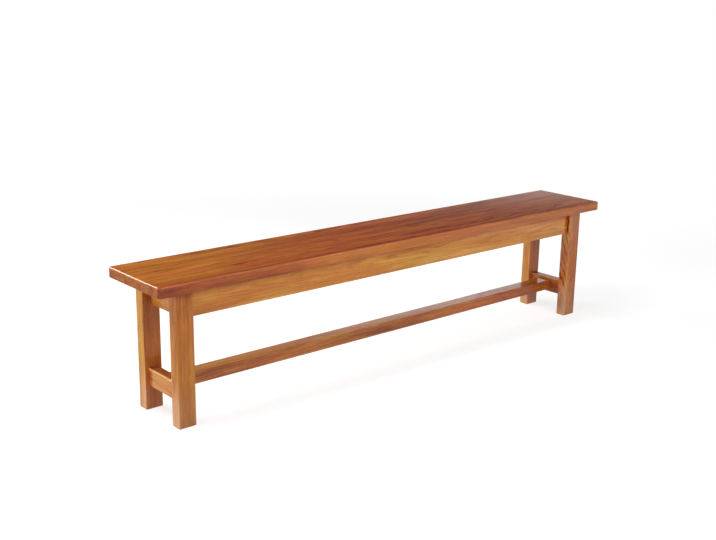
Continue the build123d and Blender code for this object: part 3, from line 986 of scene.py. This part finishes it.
def grey(value):
    return (value, value, value, 1)


def pale_floor():
    recipe = Recipe("pale_floor")
    seen = recipe.add("ShaderNodeLightPath", {}, {}, output="Is Camera Ray")
    glossy = recipe.add("ShaderNodeLightPath", {}, {}, output="Is Glossy Ray")
    through = recipe.add("ShaderNodeLightPath", {}, {}, output="Is Transmission Ray")
    local = parts(recipe, recipe.add("ShaderNodeTexCoord", {}, {}, output="Object"))
    away = (local[0] * local[0] + local[1] * local[1]).root()
    lit = recipe.add("ShaderNodeBsdfDiffuse", {}, {"Color": grey(0.78)})
    paper = recipe.add("ShaderNodeBsdfDiffuse", {}, {"Color": grey(0.36)})
    glow = recipe.add("ShaderNodeEmission", {}, {"Color": grey(1), "Strength": paper_glow})
    white = recipe.add("ShaderNodeEmission", {}, {"Color": grey(1), "Strength": 1.0})
    near = recipe.add("ShaderNodeAddShader", {}, [paper, glow])
    shown = recipe.add("ShaderNodeMixShader", {}, [away.step(*paper_fades), near, white])
    surface = recipe.add("ShaderNodeMixShader", {}, [seen + glossy + through, lit, shown])
    return recipe.finish(surface)


floor_mesh.materials.append(pale_floor())
print("floor finish:", floor_mesh.materials[0].name)

# %% [markdown]
# ## Lamps
# The lamps are big and soft and stand where the photo's shine says. One to the left makes the
# legs' left faces the brightest. One in front, a little above, throws the seat's narrow shadow
# on the rail. A strip high behind draws the bright line along the rounded edge at the near
# end, with a thin tube along it for the brightest part of that line. A low white board
# behind to the right is what the far end of the seat and the long stretcher mirror as grey.
# It is in two parts, the right one a little dimmer, because the shine fades towards that end.
# A small card in front of that end does the same for the rail, and a lamp overhead lifts the
# near end of the seat.
#
# The brightness of each is given as what a mirror would show of it, because that is the
# number that the shine was matched with.

# %% Lamps
def softbox(name, place, target, width, height, brightness, turned=0.0):
    """A large soft lamp at a place, facing a target."""
    light = bpy.data.lights.new(name, "AREA")
    light.shape = "RECTANGLE"
    light.size = width
    light.size_y = height
    light.energy = brightness * math.pi * width * height
    lamp = bpy.data.objects.new(name, light)
    aim = Vector(target) - Vector(place)
    facing = aim.to_track_quat("-Z", "Y").to_matrix().to_4x4()
    lamp.matrix_world = Matrix.Translation(place) @ facing @ Matrix.Rotation(turned, 4, "Z")
    lamp.visible_camera = False
    bpy.context.scene.collection.objects.link(lamp)
    print(name, round(light.energy), "W")


softbox("left_lamp", (-7.0, 0.8, 1.7), (-0.5, 0, 0.3), 5.0, 2.8, 5.6)
softbox("front_lamp", (-0.5, -4.3, 2.3), (0, 0, 0.25), 3.6, 1.8, 8)
softbox("back_strip", (-1.6, 2.6, 1.9), (-0.9, 0, 0.46), 1.6, 0.9, 14)
softbox("back_tube", (-1.6, 2.6, 2.0), (-0.9, 0, 0.46), 1.6, 0.16, 20)
softbox("low_board", (1.0, 1.35, 0.312), (1.0, 0, 0.312), 2.0, 0.8, 2.45, turned=-0.08)
softbox("low_board_end", (3.1, 1.35, 0.490), (3.1, 0, 0.490), 2.2, 0.82, 1.9, turned=-0.08)
softbox("top_lamp", (-1.5, 0.1, 3.0), (-0.9, 0, 0.4), 1.6, 1.6, 7.6)
softbox("near_card", (1.75, -0.95, 0.19), (0.95, -0.35, 0.19), 1.3, 0.34, 0.8)

# %% [markdown]
# ## The air around the bench
# Above the rim of the floor there is only air. It adds a trace of light from all round, so
# that no shadow goes quite black. A camera that looks up sees it white like the floor, and
# only the camera: the lacquer goes on mirroring it as nearly dark, as it does in the photo.

# %% Surroundings
world = bpy.data.worlds.new("world")
world.use_nodes = True
bpy.context.scene.world = world
air = Tree(world.node_tree)
stray_light = 0.05
seen_directly = air.add("ShaderNodeLightPath", {}, {}, output="Is Camera Ray")
surroundings = air.add("ShaderNodeBackground", {}, {
    "Color": (1, 1, 1, 1), "Strength": stray_light + seen_directly * (1 - stray_light)})
world_output = world.node_tree.nodes.new("ShaderNodeOutputWorld")
world.node_tree.links.new(surroundings.socket, world_output.inputs["Surface"])
print("surroundings:", stray_light, "as light and 1 to the camera")

bpy.context.scene.view_settings.view_transform = "Standard"
